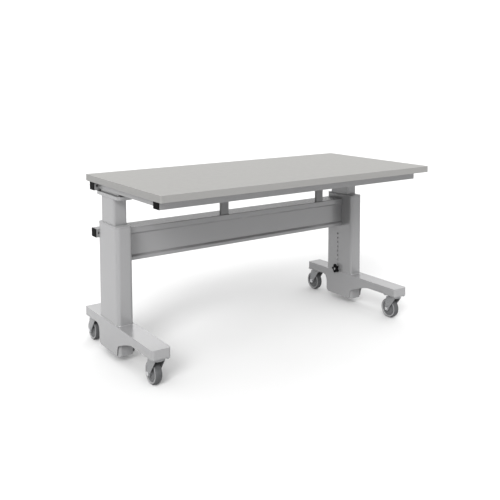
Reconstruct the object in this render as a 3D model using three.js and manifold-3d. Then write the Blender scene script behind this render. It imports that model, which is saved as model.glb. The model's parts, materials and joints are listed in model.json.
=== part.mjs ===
// Height-adjustable mobile work table: two telescopic columns on long feet with swivel casters,
// a cross beam between them, and a framed top that is lifted and then rests on two stop screws.
//
// Millimetres, +Z up. X runs along the top, -Y is the working side, Z = 0 is the floor.
// The origin is under the middle of the whole object's outline, on the floor.

import * as THREE from 'three';
import { mergeVertices } from 'three/addons/utils/BufferGeometryUtils.js';
import Module from 'manifold-3d';

const wasm = await Module();
wasm.setup();

// ---------------------------------------------------------------- driving dimensions

const GAP = 0.3;                    // air between pieces that touch

const TOP = { length: 1500, depth: 750, thick: 30, surface: 820, band: 2, corner: 6 };
const UNDERSIDE = TOP.surface - TOP.thick;

const RAIL = { deep: 50, tall: 40, wall: 2.5, cap: 3, plug: 12 };
const FRONT_RAIL = { end: 722, front: -304, bottom: UNDERSIDE - RAIL.tall };
const REAR_RAIL = { end: 740, front: 304, bottom: UNDERSIDE - RAIL.tall };
const RAIL_HOLE = { fromEnd: 15, radius: 4.8 };

const MEMBER = { wide: 55, tall: 30, wall: 2.5, outer: 720 };
const CROSS = { wide: 50, wall: 2.5 };

const COLUMN = { x: 691, y: 188 };
const OUTER = { wide: 76, deep: 206, corner: 18, wall: 3, bottom: 33, top: 609 };
const INNER = { y: 196, wide: 62, deep: 140, corner: 9, wall: 2.5 };
const COLLAR = { plate: 4, plug: 26, slack: 0.4 };
const SHOE = { tall: 40, lift: 5 };
const HEAD = {
  wide: 72, deep: 244, forward: 6, corner: 14, bottom: 733, thick: 16.5,
  pad: 10.2, padWide: 50, padDeep: 190, padCorner: 6,
};

const FOOT = {
  wide: 86, rear: 450, front: -254, top: 170, arm: 40, wall: 3, cheek: 3.5,
  bellyRear: 286, bellyFront: 94, bellyBottom: 37, frontCorner: 12, rearCorner: 5,
  throat: -62, kneeY: 66, kneeZ: 92, shinY: 90, shinZ: 66, toe: 8, heel: 18, heelTop: 92, armBack: 322,
};

const BEAM = {
  front: 161, deep: 104, bottom: 437, top: 588, recess: 8, wall: 3,
  upperLip: 24, upperSlope: 9, lowerLip: 16, lowerSlope: 8.5,
};
const LOWER_RAIL = { end: 740, front: COLUMN.y + OUTER.deep / 2 + GAP, bottom: 533 };
const POST = { wide: 45, deep: 16, front: 165, at: [-120, 491] };
const BUFFER = { tall: 8, inset: 1, corner: 4 };

const INDEX = { first: 185, pitch: 25, count: 9, radius: 5.3 };
const STUD = { radius: 5, reach: 14, washer: 9, washerThick: 3 };
const KNOB = { radius: 26, thick: 15, lobes: 5, lobeRadius: 8.5, swing: 1.75, stand: 4, neck: 10 };

const STRUT = { radius: 14, bore: 6.5, rod: 6, base: 6, bottom: 46, top: 330, boreFloor: 58 };

const CASTER = {
  frontAxis: -209, rearAxis: 415, trail: 30, wheel: 50, width: 32,
  plateWide: 80, plateDeep: 88, plateCorner: 6, plate: 4, crown: 34, crownTall: 12, sides: 28,
};
const FORK = { leg: 4, inside: 21, foot: 13, crownLap: 2, backWaist: [6, 82], frontWaist: [46, 86] };
const AXLE = { radius: 6, head: 10, headThick: 5 };
const HUB = { radius: 38.5, rimInset: 1, rimWall: 5, web: 10, boss: 13, bossRoot: 14, bossInset: 1 };
const TREAD = { shoulder: 4, crownDrop: 1, crownRun: 2 };

// Half way between the front of the top and the back of the rear wheels.
const ORIGIN_Y = (CASTER.rearAxis + CASTER.trail + CASTER.wheel - TOP.depth / 2) / 2;

// ---------------------------------------------------------------- materials

const finish = (color, roughness, metalness) =>
  new THREE.MeshStandardMaterial({ color, roughness, metalness });

const MATERIAL = {
  paint: finish(0xb4b4b6, 0.35, 0.1),
  laminate: finish(0xc6c4be, 0.55, 0),
  band: finish(0xa6a6a3, 0.6, 0),
  blackPlastic: finish(0x141416, 0.5, 0),
  greyPlastic: finish(0x8b8d8f, 0.5, 0),
  rubber: finish(0x202124, 0.8, 0),
  tyre: finish(0x6e6f71, 0.7, 0),
  hub: finish(0x55575a, 0.5, 0),
  zinc: finish(0xa9abad, 0.35, 0.8),
  steel: finish(0xc0c2c4, 0.25, 0.9),
};

// ---------------------------------------------------------------- solids

function toManifold(geometry) {
  const bare = geometry.clone();
  for (const name of Object.keys(bare.attributes)) {
    if (name !== 'position') bare.deleteAttribute(name);
  }
  const merged = mergeVertices(bare, 1e-4);
  return new wasm.Manifold(new wasm.Mesh({
    numProp: 3,
    vertProperties: new Float32Array(merged.attributes.position.array),
    triVerts: new Uint32Array(merged.index.array),
  }));
}

function toGeometry(solid) {
  const mesh = solid.getMesh();
  const geometry = new THREE.BufferGeometry();
  geometry.setAttribute('position', new THREE.BufferAttribute(mesh.vertProperties, 3));
  geometry.setIndex(new THREE.BufferAttribute(mesh.triVerts, 1));
  geometry.computeVertexNormals();
  return geometry;
}

function boxBetween(low, high) {
  const size = high.map((value, i) => value - low[i]);
  const middle = high.map((value, i) => (value + low[i]) / 2);
  return new THREE.BoxGeometry(...size).translate(...middle);
}

function roundedRect(wide, deep, radius) {
  const x = wide / 2;
  const y = deep / 2;
  const shape = new THREE.Shape();
  shape.moveTo(-x + radius, -y);
  shape.lineTo(x - radius, -y);
  shape.absarc(x - radius, -y + radius, radius, -Math.PI / 2, 0);
  shape.lineTo(x, y - radius);
  shape.absarc(x - radius, y - radius, radius, 0, Math.PI / 2);
  shape.lineTo(-x + radius, y);
  shape.absarc(-x + radius, y - radius, radius, Math.PI / 2, Math.PI);
  shape.lineTo(-x, -y + radius);
  shape.absarc(-x + radius, -y + radius, radius, Math.PI, Math.PI * 1.5);
  return shape;
}

function upright(shape, bottom, top, steps = 3) {
  const options = { depth: top - bottom, bevelEnabled: false, curveSegments: steps };
  return new THREE.ExtrudeGeometry(shape, options).translate(0, 0, bottom);
}

// A shape drawn in Y and Z, pushed along X.
function alongX(shape, from, to, steps = 4) {
  const turn = new THREE.Matrix4().makeBasis(
    new THREE.Vector3(0, 1, 0), new THREE.Vector3(0, 0, 1), new THREE.Vector3(1, 0, 0));
  const options = { depth: to - from, bevelEnabled: false, curveSegments: steps };
  return new THREE.ExtrudeGeometry(shape, options).applyMatrix4(turn).translate(from, 0, 0);
}

function cylinderX(radius, from, to, y, z, sides = 20) {
  return new THREE.CylinderGeometry(radius, radius, to - from, sides)
    .rotateZ(-Math.PI / 2).translate((from + to) / 2, y, z);
}

function cylinderY(radius, from, to, x, z, sides = 16) {
  return new THREE.CylinderGeometry(radius, radius, to - from, sides).translate(x, (from + to) / 2, z);
}

function cylinderZ(radius, from, to, x = 0, y = 0, sides = 24) {
  return new THREE.CylinderGeometry(radius, radius, to - from, sides)
    .rotateX(Math.PI / 2).translate(x, y, (from + to) / 2);
}

function latheX(profile, sides) {
  const points = profile.map(([radius, x]) => new THREE.Vector2(radius, x));
  return new THREE.LatheGeometry(points, sides).rotateZ(-Math.PI / 2);
}

const cut = (body, ...tools) =>
  toGeometry(tools.reduce((solid, tool) => solid.subtract(toManifold(tool)), toManifold(body)));

const join = (...pieces) =>
  toGeometry(pieces.slice(1).reduce((solid, piece) => solid.add(toManifold(piece)), toManifold(pieces[0])));

// ---------------------------------------------------------------- the group and its two sides

const table = new THREE.Group();
table.position.y = -ORIGIN_Y;

const SIDES = [{ name: 'left', sign: -1 }, { name: 'right', sign: 1 }];

function place(parent, name, geometry, material, position = [0, 0, 0]) {
  const mesh = new THREE.Mesh(geometry, material);
  mesh.name = name;
  mesh.position.set(...position);
  parent.add(mesh);
  return mesh;
}

// ---------------------------------------------------------------- feet and columns

// Side view of a foot: two box arms, and cheeks that drop on both sides of the column.
function footOutline() {
  const under = FOOT.top - FOOT.arm;
  const { throat, kneeY, kneeZ, shinY, shinZ, toe, heel, heelTop, armBack } = FOOT;
  const { bellyFront, bellyRear, bellyBottom } = FOOT;
  const shape = new THREE.Shape();
  shape.moveTo(FOOT.front, under);
  shape.lineTo(throat, under);
  shape.bezierCurveTo(throat + 34, under - 1, kneeY - 34, kneeZ + 13, kneeY, kneeZ);
  shape.quadraticCurveTo(shinY - 5, kneeZ - 8, shinY, shinZ);
  shape.lineTo(bellyFront, bellyBottom + toe - 2);
  shape.quadraticCurveTo(bellyFront + 1, bellyBottom, bellyFront + toe, bellyBottom);
  shape.lineTo(bellyRear - heel, bellyBottom);
  shape.absarc(bellyRear - heel, bellyBottom + heel, heel, -Math.PI / 2, 0);
  shape.lineTo(bellyRear, heelTop);
  shape.bezierCurveTo(bellyRear + 3, heelTop + 24, bellyRear + 12, under, armBack, under);
  shape.lineTo(FOOT.rear, under);
  shape.lineTo(FOOT.rear, FOOT.top);
  shape.lineTo(FOOT.front, FOOT.top);
  return shape;
}

// Plan view of a foot: large round corners at the front, small ones at the back.
function footPlan() {
  const x = FOOT.wide / 2;
  const shape = new THREE.Shape();
  shape.moveTo(-x + FOOT.frontCorner, FOOT.front);
  shape.lineTo(x - FOOT.frontCorner, FOOT.front);
  shape.absarc(x - FOOT.frontCorner, FOOT.front + FOOT.frontCorner, FOOT.frontCorner, -Math.PI / 2, 0);
  shape.lineTo(x, FOOT.rear - FOOT.rearCorner);
  shape.absarc(x - FOOT.rearCorner, FOOT.rear - FOOT.rearCorner, FOOT.rearCorner, 0, Math.PI / 2);
  shape.lineTo(-x + FOOT.rearCorner, FOOT.rear);
  shape.absarc(-x + FOOT.rearCorner, FOOT.rear - FOOT.rearCorner, FOOT.rearCorner, Math.PI / 2, Math.PI);
  shape.lineTo(-x, FOOT.front + FOOT.frontCorner);
  shape.absarc(-x + FOOT.frontCorner, FOOT.front + FOOT.frontCorner, FOOT.frontCorner,
    Math.PI, Math.PI * 1.5);
  return shape;
}

function footGeometry() {
  const side = toManifold(alongX(footOutline(), -FOOT.wide / 2, FOOT.wide / 2));
  const plan = toManifold(upright(footPlan(), 0, FOOT.top + 1, 4));
  const socket = roundedRect(OUTER.wide + 2 * GAP, OUTER.deep + 2 * GAP, OUTER.corner + GAP);
  const pocket = toManifold(upright(socket, 0, FOOT.top + 1).translate(0, COLUMN.y, 0));
  const inside = FOOT.wide / 2 - FOOT.wall;
  const floor = FOOT.top - FOOT.arm + FOOT.wall;
  const hollow = (from, to) =>
    toManifold(boxBetween([-inside, from, floor], [inside, to, FOOT.top - FOOT.wall]));
  const columnFront = COLUMN.y - OUTER.deep / 2;
  const columnBack = COLUMN.y + OUTER.deep / 2;
  const between = FOOT.wide / 2 - FOOT.cheek;
  const cheekGap = toManifold(boxBetween([-between, FOOT.throat, 0],
    [between, FOOT.armBack, FOOT.top - FOOT.arm]));
  return toGeometry(side.intersect(plan).subtract(pocket).subtract(cheekGap)
    .subtract(hollow(FOOT.front + FOOT.frontCorner, columnFront + 10))
    .subtract(hollow(columnBack - 10, FOOT.rear - FOOT.rearCorner)));
}

function outerColumnGeometry(sign) {
  const skin = upright(roundedRect(OUTER.wide, OUTER.deep, OUTER.corner), OUTER.bottom, OUTER.top);
  const bore = upright(roundedRect(OUTER.wide - 2 * OUTER.wall, OUTER.deep - 2 * OUTER.wall,
    OUTER.corner - OUTER.wall), OUTER.bottom - 1, OUTER.top + 1);
  const innerFace = -sign * OUTER.wide / 2;
  const holes = Array.from({ length: INDEX.count }, (_, i) =>
    cylinderX(INDEX.radius, innerFace - 6, innerFace + 6, INNER.y - COLUMN.y,
      INDEX.first + i * INDEX.pitch, 16));
  return cut(skin, bore, ...holes);
}

function collarGeometry() {
  const opening = upright(roundedRect(INNER.wide + 2 * COLLAR.slack, INNER.deep + 2 * COLLAR.slack,
    INNER.corner + COLLAR.slack), OUTER.top - COLLAR.plug - 1, OUTER.top + COLLAR.plate + 1)
    .translate(0, INNER.y - COLUMN.y, 0);
  const plate = upright(roundedRect(OUTER.wide, OUTER.deep, OUTER.corner),
    OUTER.top + GAP, OUTER.top + COLLAR.plate + GAP);
  const slack = OUTER.wall + GAP;
  const plug = upright(roundedRect(OUTER.wide - 2 * slack, OUTER.deep - 2 * slack, OUTER.corner - slack),
    OUTER.top - COLLAR.plug, OUTER.top + COLLAR.plate / 2);
  return cut(join(plate, plug), opening);
}

const innerBottom = INDEX.first + STUD.radius + GAP;

function innerColumnGeometry() {
  const top = HEAD.bottom - GAP;
  const skin = upright(roundedRect(INNER.wide, INNER.deep, INNER.corner), innerBottom, top);
  const bore = upright(roundedRect(INNER.wide - 2 * INNER.wall, INNER.deep - 2 * INNER.wall,
    INNER.corner - INNER.wall), innerBottom - 1, top + 1);
  return cut(skin, bore);
}

function shoeGeometry() {
  const bottom = innerBottom + SHOE.lift;
  const slack = OUTER.wall + GAP;
  const body = upright(roundedRect(OUTER.wide - 2 * slack, OUTER.deep - 2 * slack, OUTER.corner - slack),
    bottom, bottom + SHOE.tall);
  const opening = upright(roundedRect(INNER.wide + 2 * GAP, INNER.deep + 2 * GAP, INNER.corner + GAP),
    bottom - 1, bottom + SHOE.tall + 1).translate(0, INNER.y - COLUMN.y, 0);
  return cut(body, opening);
}

// Tray-like head of a column, with a lower pad that meets the side member of the top frame.
function headPlateGeometry() {
  const top = HEAD.bottom + HEAD.thick;
  const tray = upright(roundedRect(HEAD.wide, HEAD.deep, HEAD.corner), HEAD.bottom, top);
  const pad = upright(roundedRect(HEAD.padWide, HEAD.padDeep, HEAD.padCorner),
    top - 1, top + HEAD.pad);
  return join(tray, pad);
}

function strutCylinderGeometry() {
  const half = OUTER.wide / 2 - OUTER.wall - GAP;
  const base = boxBetween([-half, -half, STRUT.bottom], [half, half, STRUT.bottom + STRUT.base]);
  const tube = cylinderZ(STRUT.radius, STRUT.bottom + STRUT.base / 2, STRUT.top);
  const bore = cylinderZ(STRUT.bore, STRUT.boreFloor, STRUT.top + 1, 0, 0, 16);
  return cut(join(base, tube), bore);
}

for (const { name, sign } of SIDES) {
  const leg = new THREE.Group();
  leg.position.x = sign * COLUMN.x;
  table.add(leg);
  const atColumn = [0, COLUMN.y, 0];
  const atInner = [0, INNER.y, 0];
  place(leg, `${name}_foot`, footGeometry(), MATERIAL.paint);
  place(leg, `${name}_outer_column`, outerColumnGeometry(sign), MATERIAL.paint, atColumn);
  place(leg, `${name}_column_collar`, collarGeometry(), MATERIAL.greyPlastic, atColumn);
  place(leg, `${name}_inner_column`, innerColumnGeometry(), MATERIAL.paint, atInner);
  place(leg, `${name}_glide_shoe`, shoeGeometry(), MATERIAL.greyPlastic, atColumn);
  place(leg, `${name}_head_plate`, headPlateGeometry(), MATERIAL.paint,
    [0, INNER.y - HEAD.forward, 0]);
  place(leg, `${name}_strut_cylinder`, strutCylinderGeometry(), MATERIAL.steel, atInner);
  const rod = cylinderZ(STRUT.rod, STRUT.boreFloor + 4, HEAD.bottom - GAP, 0, 0, 16);
  place(leg, `${name}_strut_rod`, rod, MATERIAL.steel, atInner);
}

// ---------------------------------------------------------------- stop screws

// A round disc with lobes: each lobe is a circle centred on the disc's edge.
function starOutline() {
  const shape = new THREE.Shape();
  const steps = 8;
  const lobeTurn = (2 * Math.PI) / KNOB.lobes;
  const reach = KNOB.radius - KNOB.lobeRadius;
  for (let lobe = 0; lobe < KNOB.lobes; lobe += 1) {
    const middle = lobe * lobeTurn;
    for (let i = 0; i <= steps; i += 1) {
      const angle = middle + KNOB.swing * ((2 * i) / steps - 1);
      const y = reach * Math.cos(middle) + KNOB.lobeRadius * Math.cos(angle);
      const z = reach * Math.sin(middle) + KNOB.lobeRadius * Math.sin(angle);
      if (lobe === 0 && i === 0) shape.moveTo(y, z);
      else shape.lineTo(y, z);
    }
  }
  return shape;
}

for (const { name, sign } of SIDES) {
  const face = sign * (COLUMN.x - OUTER.wide / 2);
  const span = (near, far) => [Math.min(face - sign * near, face - sign * far),
    Math.max(face - sign * near, face - sign * far)];
  const washer = span(GAP, GAP + STUD.washerThick);
  const shank = span(-STUD.reach, GAP + STUD.washerThick / 2);
  const knobFrom = GAP + STUD.washerThick + GAP;
  const body = span(knobFrom + KNOB.stand, knobFrom + KNOB.stand + KNOB.thick);
  const neck = span(knobFrom, knobFrom + KNOB.stand + 1);
  const height = INDEX.first;
  place(table, `${name}_stop_screw`,
    join(cylinderX(STUD.radius, ...shank, INNER.y, height, 16),
      cylinderX(STUD.washer, ...washer, INNER.y, height, 20)), MATERIAL.steel);
  const star = alongX(starOutline(), ...body).translate(0, INNER.y, height);
  place(table, `${name}_star_knob`,
    join(star, cylinderX(KNOB.neck, ...neck, INNER.y, height, 20)), MATERIAL.blackPlastic);
}

// ---------------------------------------------------------------- beam, lower rail and posts

function boxTubeX(half, front, bottom, deep, tall, wall, holes) {
  const body = boxBetween([-half, front, bottom], [half, front + deep, bottom + tall]);
  const bore = boxBetween([-half - 1, front + wall, bottom + wall],
    [half + 1, front + deep - wall, bottom + tall - wall]);
  return cut(body, bore, ...holes);
}

// Hollow beam whose front panel lies back between an upper and a lower lip.
function beamGeometry() {
  const half = COLUMN.x - OUTER.wide / 2 - GAP;
  const outline = new THREE.Shape();
  const back = BEAM.front + BEAM.deep;
  const inset = BEAM.front + BEAM.recess;
  const upper = BEAM.top - BEAM.upperLip;
  const lower = BEAM.bottom + BEAM.lowerLip;
  const points = [
    [back, BEAM.top], [BEAM.front, BEAM.top], [BEAM.front, upper], [inset, upper - BEAM.upperSlope],
    [inset, lower + BEAM.lowerSlope], [BEAM.front, lower], [BEAM.front, BEAM.bottom], [back, BEAM.bottom],
  ];
  outline.setFromPoints(points.map(([y, z]) => new THREE.Vector2(y, z)));
  const body = alongX(outline, -half, half);
  const bore = boxBetween([-half - 1, inset + BEAM.wall, BEAM.bottom + BEAM.wall],
    [half + 1, back - BEAM.wall, BEAM.top - BEAM.wall]);
  return cut(body, bore);
}

place(table, 'cross_beam', beamGeometry(), MATERIAL.paint);

function railWithCaps(rail, name, leftCap, rightCap, withHoles) {
  const half = rail.end - RAIL.cap;
  const middle = rail.bottom + RAIL.tall / 2;
  const holes = withHoles ? [-1, 1].map((side) =>
    cylinderY(RAIL_HOLE.radius, rail.front - 1, rail.front + RAIL.wall + 1,
      side * (rail.end - RAIL_HOLE.fromEnd), middle)) : [];
  place(table, name,
    boxTubeX(half, rail.front, rail.bottom, RAIL.deep, RAIL.tall, RAIL.wall, holes), MATERIAL.paint);
  for (const [capName, side] of [[leftCap, -1], [rightCap, 1]]) {
    const face = boxBetween([0, -RAIL.deep / 2, -RAIL.tall / 2],
      [RAIL.cap - GAP, RAIL.deep / 2, RAIL.tall / 2]);
    const slack = RAIL.wall + GAP;
    const plug = boxBetween([-RAIL.plug, -RAIL.deep / 2 + slack, -RAIL.tall / 2 + slack],
      [1, RAIL.deep / 2 - slack, RAIL.tall / 2 - slack]);
    const cap = join(face, plug);
    if (side < 0) cap.rotateZ(Math.PI);
    place(table, capName, cap, MATERIAL.blackPlastic,
      [side * (half + GAP), rail.front + RAIL.deep / 2, middle]);
  }
}

railWithCaps(LOWER_RAIL, 'lower_rear_rail', 'lower_rail_cap_left', 'lower_rail_cap_right', true);

for (const [index, x] of POST.at.entries()) {
  const name = `support_post_${index + 1}`;
  const top = FRONT_RAIL.bottom - GAP - BUFFER.tall - GAP;
  const low = [x - POST.wide / 2, POST.front, BEAM.top + GAP];
  const high = [x + POST.wide / 2, POST.front + POST.deep, top];
  place(table, name, boxBetween(low, high), MATERIAL.paint);
  const pad = roundedRect(POST.wide - 2 * BUFFER.inset, POST.deep, BUFFER.corner);
  place(table, `post_buffer_${index + 1}`, upright(pad, top + GAP, top + GAP + BUFFER.tall),
    MATERIAL.rubber, [x, POST.front + POST.deep / 2, 0]);
}

// ---------------------------------------------------------------- top frame and top

railWithCaps(FRONT_RAIL, 'front_rail', 'front_rail_cap_left', 'front_rail_cap_right', false);
railWithCaps(REAR_RAIL, 'rear_rail', 'rear_rail_cap_left', 'rear_rail_cap_right', true);

const frameFront = FRONT_RAIL.front + RAIL.deep + GAP;
const frameBack = REAR_RAIL.front - GAP;

function boxTubeY(low, high, wall) {
  const bore = boxBetween([low[0] + wall, low[1] - 1, low[2] + wall],
    [high[0] - wall, high[1] + 1, high[2] - wall]);
  return cut(boxBetween(low, high), bore);
}

for (const { name, sign } of SIDES) {
  const outer = sign * MEMBER.outer;
  const inner = sign * (MEMBER.outer - MEMBER.wide);
  const low = [Math.min(outer, inner), frameFront, UNDERSIDE - MEMBER.tall];
  const high = [Math.max(outer, inner), frameBack, UNDERSIDE];
  place(table, `${name}_side_member`, boxTubeY(low, high, MEMBER.wall), MATERIAL.paint);
}

for (const [index, x] of POST.at.entries()) {
  const low = [x - CROSS.wide / 2, frameFront, UNDERSIDE - RAIL.tall];
  const high = [x + CROSS.wide / 2, frameBack, UNDERSIDE];
  place(table, `cross_member_${index + 1}`, boxTubeY(low, high, CROSS.wall), MATERIAL.paint);
}

const coreLength = TOP.length - 2 * TOP.band;
const coreDepth = TOP.depth - 2 * TOP.band;
const coreCorner = TOP.corner - TOP.band;
place(table, 'tabletop',
  upright(roundedRect(coreLength, coreDepth, coreCorner), UNDERSIDE + GAP, TOP.surface), MATERIAL.laminate);
place(table, 'edge_band',
  cut(upright(roundedRect(TOP.length, TOP.depth, TOP.corner), UNDERSIDE + GAP, TOP.surface - 0.2),
    upright(roundedRect(coreLength + 2 * GAP, coreDepth + 2 * GAP, coreCorner + GAP),
      UNDERSIDE - 1, TOP.surface + 1)), MATERIAL.band);

// ---------------------------------------------------------------- casters

// Side view of one fork leg: wide at the crown, waisted, and round at the axle.
function legOutline() {
  const shape = new THREE.Shape();
  const top = FOOT.top - FOOT.arm - CASTER.plate - 2 * GAP - CASTER.crownTall + FORK.crownLap;
  const axleZ = CASTER.wheel;
  shape.moveTo(-CASTER.crown + FORK.crownLap * 3, top);
  shape.quadraticCurveTo(...FORK.backWaist, CASTER.trail - FORK.foot, axleZ);
  shape.absarc(CASTER.trail, axleZ, FORK.foot, Math.PI, 2 * Math.PI);
  shape.quadraticCurveTo(...FORK.frontWaist, CASTER.crown - 1, top);
  return shape;
}

function forkGeometry() {
  const top = FOOT.top - FOOT.arm - CASTER.plate - 2 * GAP;
  const crown = cylinderZ(CASTER.crown, top - CASTER.crownTall, top, 0, 0, 32);
  const outer = FORK.inside + FORK.leg;
  const legs = [-1, 1].map((side) => alongX(legOutline(),
    Math.min(side * FORK.inside, side * outer), Math.max(side * FORK.inside, side * outer), 5));
  const hole = cylinderX(AXLE.radius + GAP, -outer - 2, outer + 2, CASTER.trail, CASTER.wheel, 16);
  return cut(join(crown, ...legs), hole);
}

function tyreGeometry() {
  const half = CASTER.width / 2;
  const bead = HUB.radius + GAP;
  const { shoulder, crownDrop, crownRun } = TREAD;
  const edge = CASTER.wheel - shoulder;
  const slope = CASTER.wheel - crownDrop;
  return latheX([
    [bead, -half], [edge, -half], [slope, -half + shoulder - crownDrop],
    [CASTER.wheel, -half + shoulder + crownRun], [CASTER.wheel, half - shoulder - crownRun],
    [slope, half - shoulder + crownDrop], [edge, half], [bead, half], [bead, -half],
  ], CASTER.sides);
}

// Wheel centre: a rim, a thinner web, and a boss that fills the width between the fork legs.
function hubGeometry() {
  const rim = CASTER.width / 2 - HUB.rimInset;
  const boss = FORK.inside - HUB.bossInset;
  const bore = AXLE.radius + GAP;
  const rimInside = HUB.radius - HUB.rimWall;
  return latheX([
    [bore, -boss], [HUB.boss, -boss], [HUB.bossRoot, -HUB.web], [rimInside, -HUB.web],
    [HUB.radius, -rim], [HUB.radius, rim], [rimInside, HUB.web], [HUB.bossRoot, HUB.web],
    [HUB.boss, boss], [bore, boss], [bore, -boss],
  ], CASTER.sides);
}

function axleGeometry() {
  const leg = FORK.inside + FORK.leg + GAP;
  const end = leg + AXLE.headThick;
  return latheX([
    [0, -end], [AXLE.head, -end], [AXLE.head, -leg], [AXLE.radius, -leg],
    [AXLE.radius, leg], [AXLE.head, leg], [AXLE.head, end], [0, end],
  ], 18);
}

const ENDS = [{ name: 'front', y: CASTER.frontAxis }, { name: 'rear', y: CASTER.rearAxis }];

for (const { name: sideName, sign } of SIDES) {
  for (const { name: endName, y } of ENDS) {
    const name = `${sideName}_${endName}`;
    const caster = new THREE.Group();
    caster.position.set(sign * COLUMN.x, y, 0);
    table.add(caster);
    const plateTop = FOOT.top - FOOT.arm - GAP;
    place(caster, `${name}_caster_plate`,
      upright(roundedRect(CASTER.plateWide, CASTER.plateDeep, CASTER.plateCorner),
        plateTop - CASTER.plate, plateTop),
      MATERIAL.zinc);
    place(caster, `${name}_caster_fork`, forkGeometry(), MATERIAL.zinc);
    const axleAt = [0, CASTER.trail, CASTER.wheel];
    place(caster, `${name}_wheel_hub`, hubGeometry(), MATERIAL.hub, axleAt);
    place(caster, `${name}_tyre`, tyreGeometry(), MATERIAL.tyre, axleAt);
    place(caster, `${name}_axle`, axleGeometry(), MATERIAL.steel, axleAt);
  }
}

export default table;
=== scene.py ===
"""Height-adjustable mobile work table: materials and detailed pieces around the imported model.

Metres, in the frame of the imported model: X along the top, -Y the working side, Z = 0 the floor.
"""

import json
import math

import bmesh
import bpy
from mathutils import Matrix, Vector


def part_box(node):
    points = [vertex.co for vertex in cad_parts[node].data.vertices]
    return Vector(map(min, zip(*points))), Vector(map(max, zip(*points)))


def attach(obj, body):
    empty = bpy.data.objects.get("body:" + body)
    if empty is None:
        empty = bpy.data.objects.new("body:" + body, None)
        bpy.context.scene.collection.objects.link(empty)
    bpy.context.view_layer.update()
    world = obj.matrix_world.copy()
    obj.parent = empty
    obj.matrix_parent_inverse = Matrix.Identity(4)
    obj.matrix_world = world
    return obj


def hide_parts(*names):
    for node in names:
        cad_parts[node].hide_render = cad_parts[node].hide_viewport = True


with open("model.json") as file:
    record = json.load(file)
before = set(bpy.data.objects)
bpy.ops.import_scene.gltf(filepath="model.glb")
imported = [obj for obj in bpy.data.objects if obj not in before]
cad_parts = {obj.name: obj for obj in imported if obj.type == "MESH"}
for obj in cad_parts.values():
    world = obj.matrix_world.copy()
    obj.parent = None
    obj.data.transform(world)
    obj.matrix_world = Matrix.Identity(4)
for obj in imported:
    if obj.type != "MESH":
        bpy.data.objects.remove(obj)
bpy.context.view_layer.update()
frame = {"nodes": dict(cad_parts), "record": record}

MM = 0.001
SIDES = {"left": -1, "right": 1}
ENDS = ("front", "rear")
BODY_OF = {node: body for body, nodes in frame["record"]["behaviour"]["bodies"].items() for node in nodes}


# ---------------------------------------------------------------- materials


class Surface:
    """A Principled material whose colour, roughness and relief come from procedural layers."""

    def __init__(self, name, color, roughness, metallic=0.0, coat=0.0, specular=0.5):
        self.material = bpy.data.materials.new(name)
        self.material.use_nodes = True
        self.tree = self.material.node_tree
        self.shader = self.tree.nodes["Principled BSDF"]
        self.shader.inputs["Base Color"].default_value = (*color, 1)
        self.shader.inputs["Roughness"].default_value = roughness
        self.shader.inputs["Metallic"].default_value = metallic
        self.shader.inputs["Coat Weight"].default_value = coat
        self.shader.inputs["Coat Roughness"].default_value = 0.12
        self.shader.inputs["Specular IOR Level"].default_value = specular
        self.color = color
        self.roughness = roughness
        self.coordinates = self.tree.nodes.new("ShaderNodeTexCoord").outputs["Object"]

    def stretched(self, scale):
        mapping = self.tree.nodes.new("ShaderNodeMapping")
        mapping.inputs["Scale"].default_value = scale
        self.tree.links.new(self.coordinates, mapping.inputs["Vector"])
        return mapping.outputs["Vector"]

    def noise(self, scale, detail=3.0, stretch=None):
        node = self.tree.nodes.new("ShaderNodeTexNoise")
        node.inputs["Scale"].default_value = scale
        node.inputs["Detail"].default_value = detail
        vector = self.stretched(stretch) if stretch else self.coordinates
        self.tree.links.new(vector, node.inputs["Vector"])
        return node.outputs["Fac"]

    def cells(self, scale, stretch=None):
        node = self.tree.nodes.new("ShaderNodeTexVoronoi")
        node.inputs["Scale"].default_value = scale
        vector = self.stretched(stretch) if stretch else self.coordinates
        self.tree.links.new(vector, node.inputs["Vector"])
        return node.outputs["Color"], node.outputs["Distance"]

    def shades(self, pattern, spread, start=0.3, end=0.7):
        """Base colour between a darker and a lighter shade of the surface's own colour."""
        ramp = self.tree.nodes.new("ShaderNodeValToRGB")
        ramp.color_ramp.elements[0].position = start
        ramp.color_ramp.elements[1].position = end
        ramp.color_ramp.elements[0].color = (*(c * (1 - spread) for c in self.color), 1)
        ramp.color_ramp.elements[1].color = (*(min(1.0, c * (1 + spread)) for c in self.color), 1)
        self.tree.links.new(pattern, ramp.inputs["Fac"])
        self.tree.links.new(ramp.outputs["Color"], self.shader.inputs["Base Color"])
        return self

    def polish(self, pattern, spread):
        """Roughness that varies by plus or minus the spread."""
        node = self.tree.nodes.new("ShaderNodeMapRange")
        node.inputs["From Min"].default_value = 0.3
        node.inputs["From Max"].default_value = 0.7
        node.inputs["To Min"].default_value = max(0.02, self.roughness - spread)
        node.inputs["To Max"].default_value = min(1.0, self.roughness + spread)
        self.tree.links.new(pattern, node.inputs["Value"])
        self.tree.links.new(node.outputs["Result"], self.shader.inputs["Roughness"])
        return self

    def relief(self, pattern, height, strength=1.0):
        """Bump of that height, on top of any relief that is there already."""
        node = self.tree.nodes.new("ShaderNodeBump")
        node.inputs["Distance"].default_value = height
        node.inputs["Strength"].default_value = strength
        self.tree.links.new(pattern, node.inputs["Height"])
        normal = self.shader.inputs["Normal"]
        if normal.links:
            self.tree.links.new(normal.links[0].from_socket, node.inputs["Normal"])
        self.tree.links.new(node.outputs["Normal"], normal)
        return self


def silver_paint():
    """Smooth silver-grey coat: fine metallic flake, faint orange peel and a glossy surface."""
    made = Surface("silver_paint", (0.245, 0.245, 0.248), 0.25, metallic=0.22, coat=0.3, specular=0.5)
    made.shades(made.noise(2600, 2), 0.02)
    made.polish(made.noise(5, 2), 0.02)
    return made.relief(made.noise(380, 1), 0.00002, 0.3).material


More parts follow.
